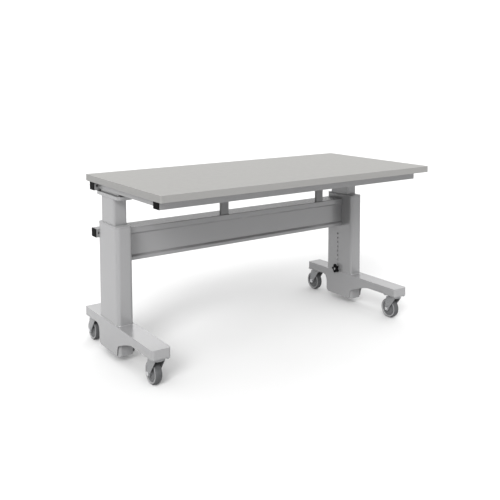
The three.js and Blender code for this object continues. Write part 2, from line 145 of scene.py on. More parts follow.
# Paint for the support posts, darker than the silver paint: painted shade that stands in for the shade the posts lie in
# under the top.
def post_painted_shade():
    made = Surface("post_painted_shade", (0.16, 0.16, 0.162), 0.4, coat=0.15)
    made.shades(made.noise(1500, 3), 0.08)
    made.polish(made.noise(14, 3), 0.05)
    return made.relief(made.noise(900, 2), 0.00006, 0.6).material


def laminate():
    """Pressed laminate: warm light grey, with a fine pearl texture and a faint cloudiness."""
    made = Surface("laminate", (0.20, 0.197, 0.189), 0.45, specular=0.3)
    made.shades(made.noise(1100, 4), 0.03)
    made.polish(made.noise(40, 3), 0.015)
    made.relief(made.cells(1400)[1], 0.00003, 0.5)
    return made.relief(made.noise(240, 3), 0.00004, 0.4).material


def laminate_edge():
    made = Surface("laminate_edge", (0.215, 0.213, 0.207), 0.5, specular=0.3)
    made.shades(made.noise(900, 3), 0.03)
    made.polish(made.noise(20, 2), 0.05)
    return made.relief(made.noise(700, 3), 0.00005, 0.5).material


def black_plastic():
    """Moulded black plastic with spark-eroded grain."""
    made = Surface("black_plastic", (0.003, 0.003, 0.0033), 0.55, specular=0.04)
    made.shades(made.noise(60, 3), 0.2)
    made.polish(made.noise(45, 3), 0.06)
    return made.relief(made.noise(2400, 3), 0.00006, 0.7).material


def grey_plastic():
    made = Surface("grey_plastic", (0.26, 0.26, 0.263), 0.4, specular=0.3)
    made.shades(made.noise(80, 3), 0.03)
    made.polish(made.noise(50, 3), 0.05)
    return made.relief(made.noise(2000, 3), 0.00004, 0.6).material


def black_rubber():
    made = Surface("black_rubber", (0.03, 0.03, 0.031), 0.72, specular=0.3)
    made.shades(made.noise(90, 4), 0.15)
    made.polish(made.noise(60, 3), 0.08)
    return made.relief(made.noise(1300, 4), 0.00009, 0.7).material


def tread_rubber():
    """Grey wheel rubber with fine turning lines and light dust."""
    made = Surface("tread_rubber", (0.07, 0.071, 0.073), 0.6, specular=0.2)
    made.shades(made.noise(70, 5), 0.12)
    made.polish(made.noise(55, 4), 0.1)
    made.relief(made.noise(30, 2, (90, 1, 1)), 0.00006, 0.5)
    return made.relief(made.noise(1600, 3), 0.00005, 0.6).material


def wheel_plastic():
    made = Surface("wheel_plastic", (0.10, 0.101, 0.104), 0.42, specular=0.3)
    made.shades(made.noise(50, 3), 0.08)
    made.polish(made.noise(60, 3), 0.06)
    return made.relief(made.noise(1800, 3), 0.00005, 0.6).material


def zinc_plate():
    """Zinc-plated pressed steel: soft spangle and fine handling scratches."""
    made = Surface("zinc_plate", (0.25, 0.253, 0.258), 0.34, metallic=0.7)
    made.shades(made.cells(160)[1], 0.08, 0.1, 0.6)
    made.polish(made.noise(90, 5), 0.08)
    made.relief(made.noise(60, 2, (1, 1, 14)), 0.00003, 0.4)
    return made.relief(made.noise(1100, 3), 0.00003, 0.5).material


def bright_steel():
    made = Surface("bright_steel", (0.62, 0.625, 0.635), 0.22, metallic=0.95)
    made.shades(made.noise(35, 4), 0.05)
    made.polish(made.noise(120, 4), 0.07)
    return made.relief(made.noise(40, 2, (1, 1, 40)), 0.00002, 0.4).material


MATERIALS = {
    "paint": silver_paint(),
    "dark_paint": post_painted_shade(),
    "laminate": laminate(),
    "edge_band": laminate_edge(),
    "black_plastic": black_plastic(),
    "grey_plastic": grey_plastic(),
    "rubber": black_rubber(),
    "tyre": tread_rubber(),
    "hub": wheel_plastic(),
    "zinc": zinc_plate(),
    "steel": bright_steel(),
}


# ---------------------------------------------------------------- meshes


def build(name, points, faces):
    """A closed mesh with its doubled points merged and its faces pointing out."""
    mesh = bpy.data.meshes.new(name)
    mesh.from_pydata(points, [], faces)
    work = bmesh.new()
    work.from_mesh(mesh)
    bmesh.ops.remove_doubles(work, verts=work.verts, dist=1e-6)
    bmesh.ops.recalc_face_normals(work, faces=work.faces)
    work.to_mesh(mesh)
    work.free()
    return mesh


def loft(name, rings, closed=False):
    """Skin over rings of points, with both ends filled, or joined to each other if it is closed."""
    size = len(rings[0])
    points = [point for ring in rings for point in ring]
    faces = []
    for span in range(len(rings) if closed else len(rings) - 1):
        near, far = span * size, (span + 1) % len(rings) * size
        for i in range(size):
            j = (i + 1) % size
            faces.append((near + i, near + j, far + j, far + i))
    if not closed:
        faces.append(tuple(range(size)))
        faces.append(tuple(range(len(points) - size, len(points))))
    return build(name, points, faces)


def rounded(wide, deep, radius, steps=8):
    """A rectangle about the origin with round corners, as (x, y) pairs."""
    radius = max(0.02 * MM, min(radius, wide / 2, deep / 2))
    points = []
    for quarter, (x, y) in enumerate(((1, -1), (1, 1), (-1, 1), (-1, -1))):
        for step in range(steps + 1):
            turn = math.pi / 2 * (quarter - 1 + step / steps)
            points.append((x * (wide / 2 - radius) + radius * math.cos(turn),
                           y * (deep / 2 - radius) + radius * math.sin(turn)))
    return points


def stack(name, levels, centre, closed=False, steps=8):
    """Round-cornered rectangles (wide, deep, radius, z) skinned one after another."""
    rings = [[(centre[0] + x, centre[1] + y, z) for x, y in rounded(wide, deep, radius, steps)]
             for wide, deep, radius, z in levels]
    return loft(name, rings, closed)


def edge_in(wide, deep, radius, z, edge, rising, steps=3):
    """Levels that turn a face's rim over a quarter circle, from the face to the side, or back if rising."""
    levels = []
    for step in range(steps + 1):
        turn = math.pi / 2 * step / steps
        inset = edge * (1 - math.sin(turn))
        rise = edge * (1 - math.cos(turn))
        levels.append((wide - 2 * inset, deep - 2 * inset, max(radius - inset, 0.3 * MM), inset, rise))
    if rising:
        return [(w, d, r, z - rise) for w, d, r, _, rise in reversed(levels)]
    return [(w, d, r, z + rise) for w, d, r, _, rise in levels]


def slab(name, wide, deep, radius, low, high, edge, centre, steps=8):
    """A plate or block with round corners in plan and rounded rims."""
    levels = edge_in(wide, deep, radius, low, edge, False) + edge_in(wide, deep, radius, high, edge, True)
    return stack(name, levels, centre, steps=steps)


def turned(name, profile, axis, centre, steps=40):
    """A profile of (radius, along) pairs turned about an axis through the centre."""
    rings = []
    for radius, along in profile:
        ring = []
        for step in range(steps):
            turn = 2 * math.pi * step / steps
            u, v = radius * math.cos(turn), radius * math.sin(turn)
            offset = {"X": (along, u, v), "Y": (u, along, v), "Z": (u, v, along)}[axis]
            ring.append(tuple(c + o for c, o in zip(centre, offset)))
        rings.append(ring)
    on_axis = profile[0][0] < 1e-7 and profile[-1][0] < 1e-7
    if not on_axis:
        return loft(name, rings, closed=True)
    return loft(name, rings)


def filleted(corners, steps=6):
    """A closed outline from corners (u, v, radius), each turned into an arc of its radius."""
    outline = []
    for i, (u, v, radius) in enumerate(corners):
        here = Vector((u, v))
        if radius <= 0:
            outline.append((u, v))
            continue
        back = (Vector(corners[i - 1][:2]) - here).normalized()
        on = (Vector(corners[(i + 1) % len(corners)][:2]) - here).normalized()
        half = back.angle(on) / 2
        start, end = here + back * radius / math.tan(half), here + on * radius / math.tan(half)
        centre = here + (back + on).normalized() * radius / math.sin(half)
        for step in range(steps + 1):
            arm = start.lerp(end, step / steps) - centre
            outline.append(tuple(centre + arm.normalized() * radius))
    return outline


def bezier(a, b, c, d, steps=10):
    """Points along a cubic curve, without its first."""
    points = []
    for step in range(1, steps + 1):
        t = step / steps
        weights = ((1 - t) ** 3, 3 * t * (1 - t) ** 2, 3 * t * t * (1 - t), t ** 3)
        points.append(tuple(sum(w * p[k] for w, p in zip(weights, (a, b, c, d))) for k in (0, 1)))
    return points


def prism(name, outline, axis, low, high):
    """An outline in the two other axes, pushed along an axis."""
    place = {"X": lambda u, v, a: (a, u, v), "Y": lambda u, v, a: (u, a, v), "Z": lambda u, v, a: (u, v, a)}
    return loft(name, [[place[axis](u, v, along) for u, v in outline] for along in (low, high)])


def boolean(mesh, operation, *others):
    """The mesh cut by, or kept inside, each of the others."""
    for other in others:
        subject = bpy.data.objects.new("subject", mesh)
        tool = bpy.data.objects.new("tool", other)
        for obj in (subject, tool):
            bpy.context.scene.collection.objects.link(obj)
        modifier = subject.modifiers.new("cut", "BOOLEAN")
        modifier.operation = operation
        modifier.solver = "EXACT"
        modifier.object = tool
        bpy.context.view_layer.update()
        mesh = bpy.data.meshes.new_from_object(subject.evaluated_get(bpy.context.evaluated_depsgraph_get()))
        bpy.data.objects.remove(subject)
        bpy.data.objects.remove(tool)
    return mesh


def merged(name, meshes):
    """Several separate closed shapes as one mesh."""
    work = bmesh.new()
    for mesh in meshes:
        work.from_mesh(mesh)
    made = bpy.data.meshes.new(name)
    work.to_mesh(made)
    work.free()
    return made


def ease(obj, width, segments=2, limit=40):
    """Rounded edges wherever faces meet at more than the limit, in degrees."""
    bevel = obj.modifiers.new("eased_edges", "BEVEL")
    bevel.width = width
    bevel.segments = segments
    bevel.limit_method = "ANGLE"
    bevel.angle_limit = math.radians(limit)
    bevel.harden_normals = False
    return obj


def finish_shading(obj, sharp=None):
    obj.data.shade_smooth()
    if sharp is not None:
        obj.data.set_sharp_from_angle(angle=math.radians(sharp))
    normals = obj.modifiers.new("face_normals", "WEIGHTED_NORMAL")
    normals.keep_sharp = sharp is not None
    normals.weight = 60


def piece(name, mesh, body, slot, replaced=(), eased=0.0, sharp=None):
    """A finished piece that rides on a body and takes a slot's material."""
    obj = bpy.data.objects.new(name, mesh)
    bpy.context.scene.collection.objects.link(obj)
    mesh.materials.clear()
    mesh.materials.append(MATERIALS[slot])
    if eased:
        ease(obj, eased)
    finish_shading(obj, sharp)
    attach(obj, body)
    if replaced:
        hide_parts(*replaced)
    return obj


def kept_node(node, slot, eased=0.8 * MM):
    """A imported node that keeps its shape, with eased edges and the slot's material."""
    obj = frame["nodes"][node]
    obj.data.materials.clear()
    obj.data.materials.append(MATERIALS[slot])
    weld = obj.modifiers.new("weld", "WELD")
    weld.merge_threshold = 0.01 * MM
    if eased:
        ease(obj, eased)
    finish_shading(obj)
    return obj


def middle(low, high):
    return (low + high) / 2


# ---------------------------------------------------------------- fasteners


def hex_head(axis, centre, across, tall, sense):
    """Hexagon head with a chamfered crown and a washer face, standing along the axis from the centre."""
    outline = [(across / math.sqrt(3) * math.cos(math.radians(60 * i + 15)),
                across / math.sqrt(3) * math.sin(math.radians(60 * i + 15))) for i in range(6)]
    place = {"X": lambda u, v, a: (a, u, v), "Y": lambda u, v, a: (u, a, v), "Z": lambda u, v, a: (u, v, a)}
    rings = []
    for scale, along in ((1.0, 0.12), (1.0, 0.82), (0.86, 1.0)):
        rings.append([tuple(c + o for c, o in zip(centre, place[axis](u * scale, v * scale, sense * along * tall)))
                      for u, v in outline])
    head = loft("hex", rings)
    collar = turned("washer_face", [(0, 0), (across * 0.62, 0), (across * 0.62, sense * 0.14 * tall),
                                    (0, sense * 0.14 * tall)], axis, centre, 24)
    return [head, collar]


def pan_head(axis, centre, radius, tall, sense):
    """Domed screw head with a hexagon socket sunk in it."""
    profile = [(0, 0), (radius, 0), (radius, sense * 0.25 * tall)]
    for step in range(1, 5):
        turn = math.pi / 2 * step / 4
        profile.append((radius * (0.55 + 0.45 * math.cos(turn)), sense * tall * (0.25 + 0.75 * math.sin(turn))))
    profile += [(radius * 0.4, sense * tall), (radius * 0.36, sense * 0.35 * tall), (0, sense * 0.35 * tall)]
    return [turned("pan", profile, axis, centre, 24)]


# ---------------------------------------------------------------- columns and feet

COLUMN_CORNER = 18 * MM
COLUMN_WALL = 3 * MM
INNER_CORNER = 9 * MM
INNER_WALL = 2.5 * MM
FOOT_ARM = 40 * MM
FOOT_CORNER = 12 * MM
FOOT_HEEL_CORNER = 5 * MM
FOOT_CHEEK = 3.5 * MM
FOOT_THROAT = 192 * MM
INDEX_FIRST = 185 * MM
INDEX_PITCH = 25 * MM
INDEX_COUNT = 9
INDEX_RADIUS = 5.3 * MM


def tube(name, wide, deep, corner, wall, low, high, centre, steps=12):
    """Upright tube with rounded corners and slightly rounded rims."""
    rim = 0.6 * MM
    bore = (wide - 2 * wall, deep - 2 * wall, corner - wall)
    levels = [
        (wide - 2 * rim, deep - 2 * rim, corner - rim, low), (wide, deep, corner, low + rim),
        (wide, deep, corner, high - rim), (wide - 2 * rim, deep - 2 * rim, corner - rim, high),
        (bore[0] + rim, bore[1] + rim, bore[2], high), (*bore, high - rim),
        (*bore, low + rim), (bore[0] + rim, bore[1] + rim, bore[2], low),
    ]
    return stack(name, levels, centre, closed=True, steps=steps)


def outer_column(side, sign):
    low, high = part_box(f"{side}_outer_column")
    size, centre = high - low, middle(low, high)
    mesh = tube("column", size.x, size.y, COLUMN_CORNER, COLUMN_WALL, low.z, high.z, centre)
    face = centre.x - sign * size.x / 2
    hole_y = middle(*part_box(f"{side}_inner_column")).y
    drills = [turned("drill", [(0, -6 * MM), (INDEX_RADIUS, -6 * MM), (INDEX_RADIUS, 6 * MM), (0, 6 * MM)],
                     "X", (face, hole_y, INDEX_FIRST + i * INDEX_PITCH), 28) for i in range(INDEX_COUNT)]
    piece(f"{side}_column_tube", boolean(mesh, "DIFFERENCE", merged("drills", drills)), "base", "paint",
          [f"{side}_outer_column"], sharp=32)
    column_floor(side, low, high, centre)


def column_floor(side, low, high, centre):
    """Plate welded a little way up inside the lower end of the column, with four drain holes."""
    wide, deep = high.x - low.x - 2 * COLUMN_WALL, high.y - low.y - 2 * COLUMN_WALL
    mesh = slab("floor", wide, deep, COLUMN_CORNER - COLUMN_WALL, low.z + 2 * MM, low.z + 6 * MM, 0.5 * MM, centre)
    holes = [turned("hole", [(0, low.z), (4 * MM, low.z), (4 * MM, low.z + 9 * MM), (0, low.z + 9 * MM)], "Z",
                    (centre.x, centre.y + y * MM, 0), 20) for y in (-75, -50, 50, 75)]
    piece(f"{side}_column_floor", boolean(mesh, "DIFFERENCE", merged("holes", holes)), "base", "paint", sharp=32)


def collar(side):
    """Plastic guide collar in the mouth of the outer column, with a wiping lip around the inner one."""
    low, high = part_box(f"{side}_column_collar")
    inner_low, inner_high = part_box(f"{side}_inner_column")
    column_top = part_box(f"{side}_outer_column")[1].z
    size, centre = high - low, middle(low, high)
    inner, inner_centre = inner_high - inner_low, middle(inner_low, inner_high)
    seat, face = column_top + 0.3 * MM, high.z - 0.4 * MM
    plug = (size.x - 6.6 * MM, size.y - 6.6 * MM, COLUMN_CORNER - 3.3 * MM)
    levels = [(*plug, low.z), (*plug, seat), (size.x, size.y, COLUMN_CORNER, seat)]
    levels += edge_in(size.x, size.y, COLUMN_CORNER, face, 1.2 * MM, True)
    bore = (inner.x + 0.8 * MM, inner.y + 0.8 * MM, INNER_CORNER + 0.4 * MM)
    opening = stack("bore", [(*bore, low.z - MM), (*bore, high.z + MM)], inner_centre, steps=12)
    plate = boolean(stack("collar", levels, centre, steps=12), "DIFFERENCE", opening)
    foot, crest = [(bore[0] + out * MM, bore[1] + out * MM, bore[2] + out / 2 * MM) for out in (3, 2)]
    wiper = stack("wiper", [(*bore, face - MM), (*foot, face - MM), (*foot, face), (*crest, high.z), (*bore, high.z)],
                  inner_centre, closed=True, steps=12)
    piece(f"{side}_guide_collar", merged("collar", [plate, wiper]), "base", "grey_plastic",
          [f"{side}_column_collar"], sharp=32)


def inner_column(side):
    low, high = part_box(f"{side}_inner_column")
    size, centre = high - low, middle(low, high)
    mesh = tube("column", size.x, size.y, INNER_CORNER, INNER_WALL, low.z, high.z, centre, 8)
    piece(f"{side}_sliding_tube", mesh, "lift", "paint", [f"{side}_inner_column"], sharp=32)


def head_plate(side):
    """Pressed tray on top of the inner column: a low rim all round, and a block that meets the top frame."""
    low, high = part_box(f"{side}_head_plate")
    size, centre = high - low, middle(low, high)
    corner, wall, rim_top = 14 * MM, 3 * MM, low.z + 16.5 * MM
    floor = low.z + wall
    inside = (size.x - 2 * wall, size.y - 2 * wall, corner - wall)
    block = (50 * MM, 190 * MM, 6 * MM)
    levels = edge_in(size.x, size.y, corner, low.z, 3 * MM, False, 4)
    levels += edge_in(size.x, size.y, corner, rim_top, 0.8 * MM, True)
    levels += [(*inside, rim_top), (*inside, floor + MM), (inside[0] - 2 * MM, inside[1] - 2 * MM, corner - wall, floor)]
    levels += [(*block, floor)] + edge_in(*block, high.z, 0.8 * MM, True)
    piece(f"{side}_head_tray", stack("tray", levels, centre), "lift", "paint", [f"{side}_head_plate"], sharp=40)


def foot_side(front, heel, top, belly_low):
    """Side outline of a foot, as (y, z): box arms, and cheeks that drop beside the column."""
    under = top - FOOT_ARM
    belly_front, belly_back = front + 348 * MM, front + 540 * MM
    throat = (front + FOOT_THROAT, under)
    knee = (front + 320 * MM, under - 38 * MM)
    shin = (front + 344 * MM, under - 64 * MM)
    toe_radius, heel_radius = 8 * MM, 18 * MM
    points = [(front, under), throat]
    points += bezier(throat, (throat[0] + 34 * MM, under - MM), (knee[0] - 34 * MM, knee[1] + 13 * MM), knee, 16)
    points += bezier(knee, (knee[0] + 13 * MM, knee[1] - 5 * MM), (shin[0] - 3 * MM, shin[1] + 13 * MM), shin, 6)
    points += [(belly_front, belly_low + toe_radius - 2 * MM)]
    points += bezier(points[-1], (belly_front, belly_low + 2 * MM), (belly_front + 3 * MM, belly_low),
                     (belly_front + toe_radius, belly_low), 5)
    for step in range(9):
        turn = math.pi / 2 * (step / 8 - 1)
        points.append((belly_back - heel_radius * (1 - math.cos(turn)), belly_low + heel_radius * (1 + math.sin(turn))))
    rise = (belly_back, under - 38 * MM)
    points.append(rise)
    points += bezier(rise, (rise[0] + 3 * MM, rise[1] + 24 * MM), (rise[0] + 12 * MM, under),
                     (rise[0] + 36 * MM, under), 10)
    return points + [(heel, under), (heel, top), (front, top)]


def foot_plan(centre_x, wide, front, heel):
    """Plan outline of a foot: large round corners in front, small ones at the heel."""
    x = wide / 2
    corners = [(-x, front, FOOT_CORNER), (x, front, FOOT_CORNER), (x, heel, FOOT_HEEL_CORNER),
               (-x, heel, FOOT_HEEL_CORNER)]
    return [(centre_x + u, v) for u, v in filleted(corners, 12)]


def weld_bead(side, column, centre, z):
    """Painted fillet where the column stands on the foot."""
    leg, clear = 3 * MM, 0.05 * MM
    levels = []
    for step in range(6):
        turn = math.pi / 2 * step / 5
        out, up = leg * (1 - math.sin(turn)), leg * (1 - math.cos(turn))
        levels.append((column.x + 2 * (out + clear), column.y + 2 * (out + clear), COLUMN_CORNER + out, z + up))
    inner = (column.x + 2 * clear, column.y + 2 * clear, COLUMN_CORNER)
    levels = [(*inner, z - 2 * MM), (inner[0] + 2 * leg, inner[1] + 2 * leg, COLUMN_CORNER + leg, z - 2 * MM)] + levels
    piece(f"{side}_foot_weld", stack("weld", levels, centre, closed=True, steps=12), "base", "paint", sharp=50)


def foot(side):
    low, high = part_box(f"{side}_foot")
    column_low, column_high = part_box(f"{side}_outer_column")
    centre = middle(column_low, column_high)
    column = column_high - column_low
    body = prism("side", foot_side(low.y, high.y, high.z, low.z), "X", low.x, high.x)
    plan = prism("plan", foot_plan(centre.x, high.x - low.x, low.y, high.y), "Z", 0, high.z + 10 * MM)
    slack = 0.6 * MM
    socket_levels = [(column.x + slack, column.y + slack, COLUMN_CORNER, z) for z in (0, high.z + 10 * MM)]
    socket = stack("socket", socket_levels, centre, steps=12)
    between = high.x - low.x - 2 * FOOT_CHEEK
    throat, arm_back, under = low.y + FOOT_THROAT, high.y - 128 * MM, high.z - FOOT_ARM
    gap = prism("gap", [(throat, -MM), (arm_back, -MM), (arm_back, under), (throat, under)],
                "X", centre.x - between / 2, centre.x + between / 2)
    mesh = boolean(boolean(body, "INTERSECT", plan), "DIFFERENCE", socket, gap)
    weld_bead(side, column, centre, high.z)
    obj = piece(f"{side}_foot_shell", mesh, "base", "paint", [f"{side}_foot"], eased=1.6 * MM)
    obj.modifiers["eased_edges"].segments = 3
    obj.modifiers["eased_edges"].angle_limit = math.radians(35)


for side_name, side_sign in SIDES.items():
    foot(side_name)
    outer_column(side_name, side_sign)
    collar(side_name)
    inner_column(side_name)
    head_plate(side_name)
    kept_node(f"{side_name}_glide_shoe", "grey_plastic", 0)
    kept_node(f"{side_name}_strut_cylinder", "steel", 0)
    kept_node(f"{side_name}_strut_rod", "steel", 0)


# ---------------------------------------------------------------- beam, rails and frame


def beam():
    """Folded sheet beam: its front panel lies back between two lips, and every bend has its radius."""
    low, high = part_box("cross_beam")
    recess, lip, slope = 8 * MM, 24 * MM, 9 * MM
    bend, small = 5 * MM, 3 * MM
    inset = low.y + recess
    corners = [
        (high.y, high.z, small), (low.y, high.z, small), (low.y, high.z - lip, bend),
        (inset, high.z - lip - slope, bend), (inset, low.z + lip - 4 * MM + slope / 2, bend),
        (low.y, low.z + lip - 8 * MM, bend), (low.y, low.z, small), (high.y, low.z, small),
    ]
    piece("beam_shell", prism("beam", filleted(corners), "X", low.x, high.x), "base", "paint", ["cross_beam"],
          sharp=50)


def post(number):
    """Short rectangular post with a rubber pad."""
    low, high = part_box(f"support_post_{number}")
    size, centre = high - low, middle(low, high)
    column = slab("post", size.x, size.y, 2 * MM, low.z, high.z, 0.8 * MM, centre, 4)
    # The post's darker paint is painted shade, for the shade under the top.
    piece(f"post_{number}_tube", column, "base", "dark_paint", [f"support_post_{number}"], sharp=40)
    pad_low, pad_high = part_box(f"post_buffer_{number}")
    pad = pad_high - pad_low
    pad_centre = middle(pad_low, pad_high)
    piece(f"post_{number}_pad", slab("pad", pad.x, pad.y, 4 * MM, pad_low.z, pad_high.z, 1.5 * MM, pad_centre),
          "base", "rubber", [f"post_buffer_{number}"], sharp=40)


def rail_cap(node, sense):
    """End cap: a cushioned face with a sunk panel, over a tapered plug."""
    low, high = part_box(node)
    centre = middle(low, high)
    face_in = high.x - 2.7 * MM if sense > 0 else low.x + 2.7 * MM
    face_out = high.x if sense > 0 else low.x
    wide, tall = high.y - low.y, high.z - low.z
    rings = []
    for share, inset, radius in ((0, 0, 1.5), (0.5, 0, 1.5), (0.85, 0.4, 1.4), (1, 1.4, 1.2), (1, 5, 1.5),
                                 (0.8, 5.6, 1.2)):
        x = face_in + (face_out - face_in) * share
        rings.append([(x, centre.y + u, centre.z + v)
                      for u, v in rounded(wide - 2 * inset * MM, tall - 2 * inset * MM, radius * MM, 4)])
    parts = [loft("face", rings)]
    plug_end = low.x if sense > 0 else high.x
    plug_wide, plug_tall = wide - 5.8 * MM, tall - 5.8 * MM
    plug = [(plug_end, 1.0), (face_in - sense * 9 * MM, 0.0), (face_in, 0.0)]
    parts.append(loft("plug", [[(x, centre.y + u, centre.z + v)
                                for u, v in rounded(plug_wide - 2 * inset * MM, plug_tall - 2 * inset * MM, MM, 4)]
                               for x, inset in plug]))
    piece(node + "_moulding", merged("cap", parts), BODY_OF[node], "black_plastic", [node], sharp=40)


def rail_screws(node, body, spacing):
    """Pan-head screws up through a rail into the top."""
    low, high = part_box(node)
    y = (low.y + high.y) / 2
    count = 4
    heads = []
    for i in range(count):
        x = low.x + spacing + (high.x - low.x - 2 * spacing) * i / (count - 1)
        heads += pan_head("Z", (x, y, low.z), 5 * MM, 2.8 * MM, -1)
    piece(node + "_screws", merged("screws", heads), body, "zinc", sharp=40)


beam()
post(1)
post(2)
for rail in ("lower_rear_rail", "front_rail", "rear_rail"):
    kept_node(rail, "paint", 0.5 * MM)
for cap_rail in ("lower_rail_cap", "front_rail_cap", "rear_rail_cap"):
    for side_name, side_sign in SIDES.items():
        rail_cap(f"{cap_rail}_{side_name}", side_sign)
rail_screws("front_rail", "lift", 150 * MM)
rail_screws("rear_rail", "lift", 150 * MM)
for member in ("left_side_member", "right_side_member", "cross_member_1", "cross_member_2"):
    kept_node(member, "paint", 1.0 * MM)


# ---------------------------------------------------------------- top


def top():
    """Laminate sheet over a board, with a thick edge band all round."""
    low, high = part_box("edge_band")
    board_low, board_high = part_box("tabletop")
    size, centre = high - low, middle(low, high)
    board = board_high - board_low
    band, corner, skin = 2 * MM, 6 * MM, 1 * MM
    board_corner = corner - band
    piece("worktop_board",
          slab("board", board.x, board.y, board_corner, board_low.z, board_high.z - skin - 0.05 * MM, 0.1 * MM,
               centre), "lift", "laminate", ["tabletop"], sharp=30)
    piece("worktop_laminate",
          slab("laminate", board.x, board.y, board_corner, board_high.z - skin, board_high.z, 0.3 * MM, centre),
          "lift", "laminate", sharp=30)
    bore = (board.x + 0.1 * MM, board.y + 0.1 * MM, board_corner)
    levels = [(*bore, low.z), *edge_in(size.x, size.y, corner, low.z, 0.8 * MM, False),
              *edge_in(size.x, size.y, corner, board_high.z - 0.15 * MM, 1.2 * MM, True),
              (*bore, board_high.z - 0.15 * MM)]
    piece("worktop_edge", stack("edge", levels, centre, closed=True, steps=6), "lift", "edge_band",
          ["edge_band"], sharp=40)


top()


# ---------------------------------------------------------------- stop screws


def star(radius, lobes, depth, steps=120):
    """Outline of a star knob, as (u, v): round lobes with hollows between them."""
    outline = []
    for step in range(steps):
        turn = 2 * math.pi * step / steps
        wave = 0.5 + 0.5 * math.cos(lobes * turn)
        reach = radius - depth * (1 - wave ** 0.8)
        outline.append((reach * math.cos(turn), reach * math.sin(turn)))
    return outline


def knob(side, sign):
    low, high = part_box(f"{side}_star_knob")
    centre = middle(low, high)
    radius = high.y - centre.y + 1.5 * MM
    back, front = (high.x, low.x) if sign > 0 else (low.x, high.x)
    thick = 15 * MM
    shoulder = front + sign * thick
    rings = []
    for x, scale in ((shoulder, 0.80), (shoulder - sign * 1.2 * MM, 0.93), (shoulder - sign * 3.2 * MM, 1.0),
                     (front + sign * 4.4 * MM, 1.0), (front + sign * 2.0 * MM, 0.94), (front + sign * 0.6 * MM, 0.82),
                     (front + sign * 0.2 * MM, 0.66)):
        rings.append([(x, centre.y + u * scale, centre.z + v * scale) for u, v in star(radius, 5, 9.5 * MM)])
    crown = loft("crown", rings)
    neck = turned("neck", [(0, 0), (9 * MM, 0), (10 * MM, -sign * MM), (10 * MM, -sign * 9 * MM), (0, -sign * 9 * MM)],
                  "X", (back, centre.y, centre.z), 32)
    piece(f"{side}_knob_moulding", merged("knob", [crown, neck]), f"{side}_knob", "black_plastic",
          [f"{side}_star_knob"], sharp=45)
    button = turned("button", [(0, 0), (6.5 * MM, 0), (6.5 * MM, -sign * 0.5 * MM), (5.5 * MM, -sign * 0.9 * MM),
                               (0, -sign * 1.1 * MM)], "X", (front + sign * 0.9 * MM, centre.y, centre.z), 28)
    piece(f"{side}_knob_cap", button, f"{side}_knob", "grey_plastic", sharp=45)


for side_name, side_sign in SIDES.items():
    knob(side_name, side_sign)
    kept_node(f"{side_name}_stop_screw", "steel", 0.4 * MM)


# ---------------------------------------------------------------- casters


def caster_plate(name, body):
    low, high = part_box(f"{name}_caster_plate")
    size, centre = high - low, middle(low, high)
    plate = slab("plate", size.x, size.y, 6 * MM, low.z, high.z, 0.7 * MM, centre)
    piece(f"{name}_plate", plate, body, "zinc", [f"{name}_caster_plate"], sharp=35)
    bolts = []
    for x in (-1, 1):
        for y in (-1, 1):
            at = (centre.x + x * (size.x / 2 - 9 * MM), centre.y + y * (size.y / 2 - 9 * MM), low.z)
            bolts += hex_head("Z", at, 10 * MM, 5 * MM, -1)
    piece(f"{name}_plate_bolts", merged("bolts", bolts), body, "zinc", sharp=35)


def fork(name):
    """Pressed fork: dished crown over a ball race, and two tapered legs with rolled edges."""
    body = BODY_OF[f"{name}_caster_fork"]
    low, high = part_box(f"{name}_caster_fork")
    plate_low, plate_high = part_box(f"{name}_caster_plate")
    axle_low, axle_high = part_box(f"{name}_axle")
    pivot, axle = middle(plate_low, plate_high), middle(axle_low, axle_high)
    crown_radius, crown_tall, leg = 34 * MM, 12 * MM, 4 * MM
    top_z = high.z
    profile = [(0, top_z), (22 * MM, top_z), (24 * MM, top_z - 1.5 * MM), (30 * MM, top_z - 2 * MM),
               (33 * MM, top_z - 3.5 * MM), (crown_radius, top_z - 6 * MM), (crown_radius, top_z - crown_tall),
               (crown_radius - leg, top_z - crown_tall), (crown_radius - leg, top_z - 7.5 * MM),
               (26 * MM, top_z - 6 * MM), (10 * MM, top_z - 6 * MM), (9 * MM, top_z - 9 * MM), (0, top_z - 9 * MM)]
    crown = turned("crown", profile, "Z", (pivot.x, pivot.y, 0), 48)
    outline = leg_outline(pivot.y, axle.y, axle.z, crown_radius, top_z - crown_tall)
    parts = [crown]
    half_gap = 21 * MM
    for sense in (-1, 1):
        inner = pivot.x + sense * half_gap
        outer = inner + sense * leg
        parts.append(prism("leg", outline, "X", min(inner, outer), max(inner, outer)))
    piece(f"{name}_fork_pressing", merged("fork", parts), body, "zinc", [f"{name}_caster_fork"], eased=1.1 * MM)
    race = turned("race", [(23 * MM, -1.6 * MM), (28 * MM, -1.6 * MM), (28.6 * MM, -0.6 * MM), (28 * MM, 0.3 * MM),
                           (23 * MM, 0.3 * MM)], "Z", (pivot.x, pivot.y, top_z), 48)
    piece(f"{name}_ball_race", race, body, "steel", sharp=40)


def leg_outline(pivot_y, axle_y, axle_z, crown_radius, crown_z):
    """Side outline of a fork leg, as (y, z): broad at the crown, and round about the axle."""
    foot_radius = 13 * MM
    start = (pivot_y - crown_radius + 6 * MM, crown_z + 2 * MM)
    low_start = (axle_y - foot_radius, axle_z)
    points = [start]
    points += bezier(start, (pivot_y - crown_radius + 14 * MM, crown_z - 14 * MM),
                     (axle_y - 20 * MM, axle_z + 16 * MM), low_start, 10)
    for step in range(1, 13):
        turn = math.pi * (1 + step / 12)
        points.append((axle_y + foot_radius * math.cos(turn), axle_z + foot_radius * math.sin(turn)))
    end = (pivot_y + crown_radius - MM, crown_z + 2 * MM)
    points += bezier(points[-1], (axle_y + 14 * MM, axle_z + 16 * MM), (axle_y + 10 * MM, crown_z - 12 * MM), end, 10)
    return points


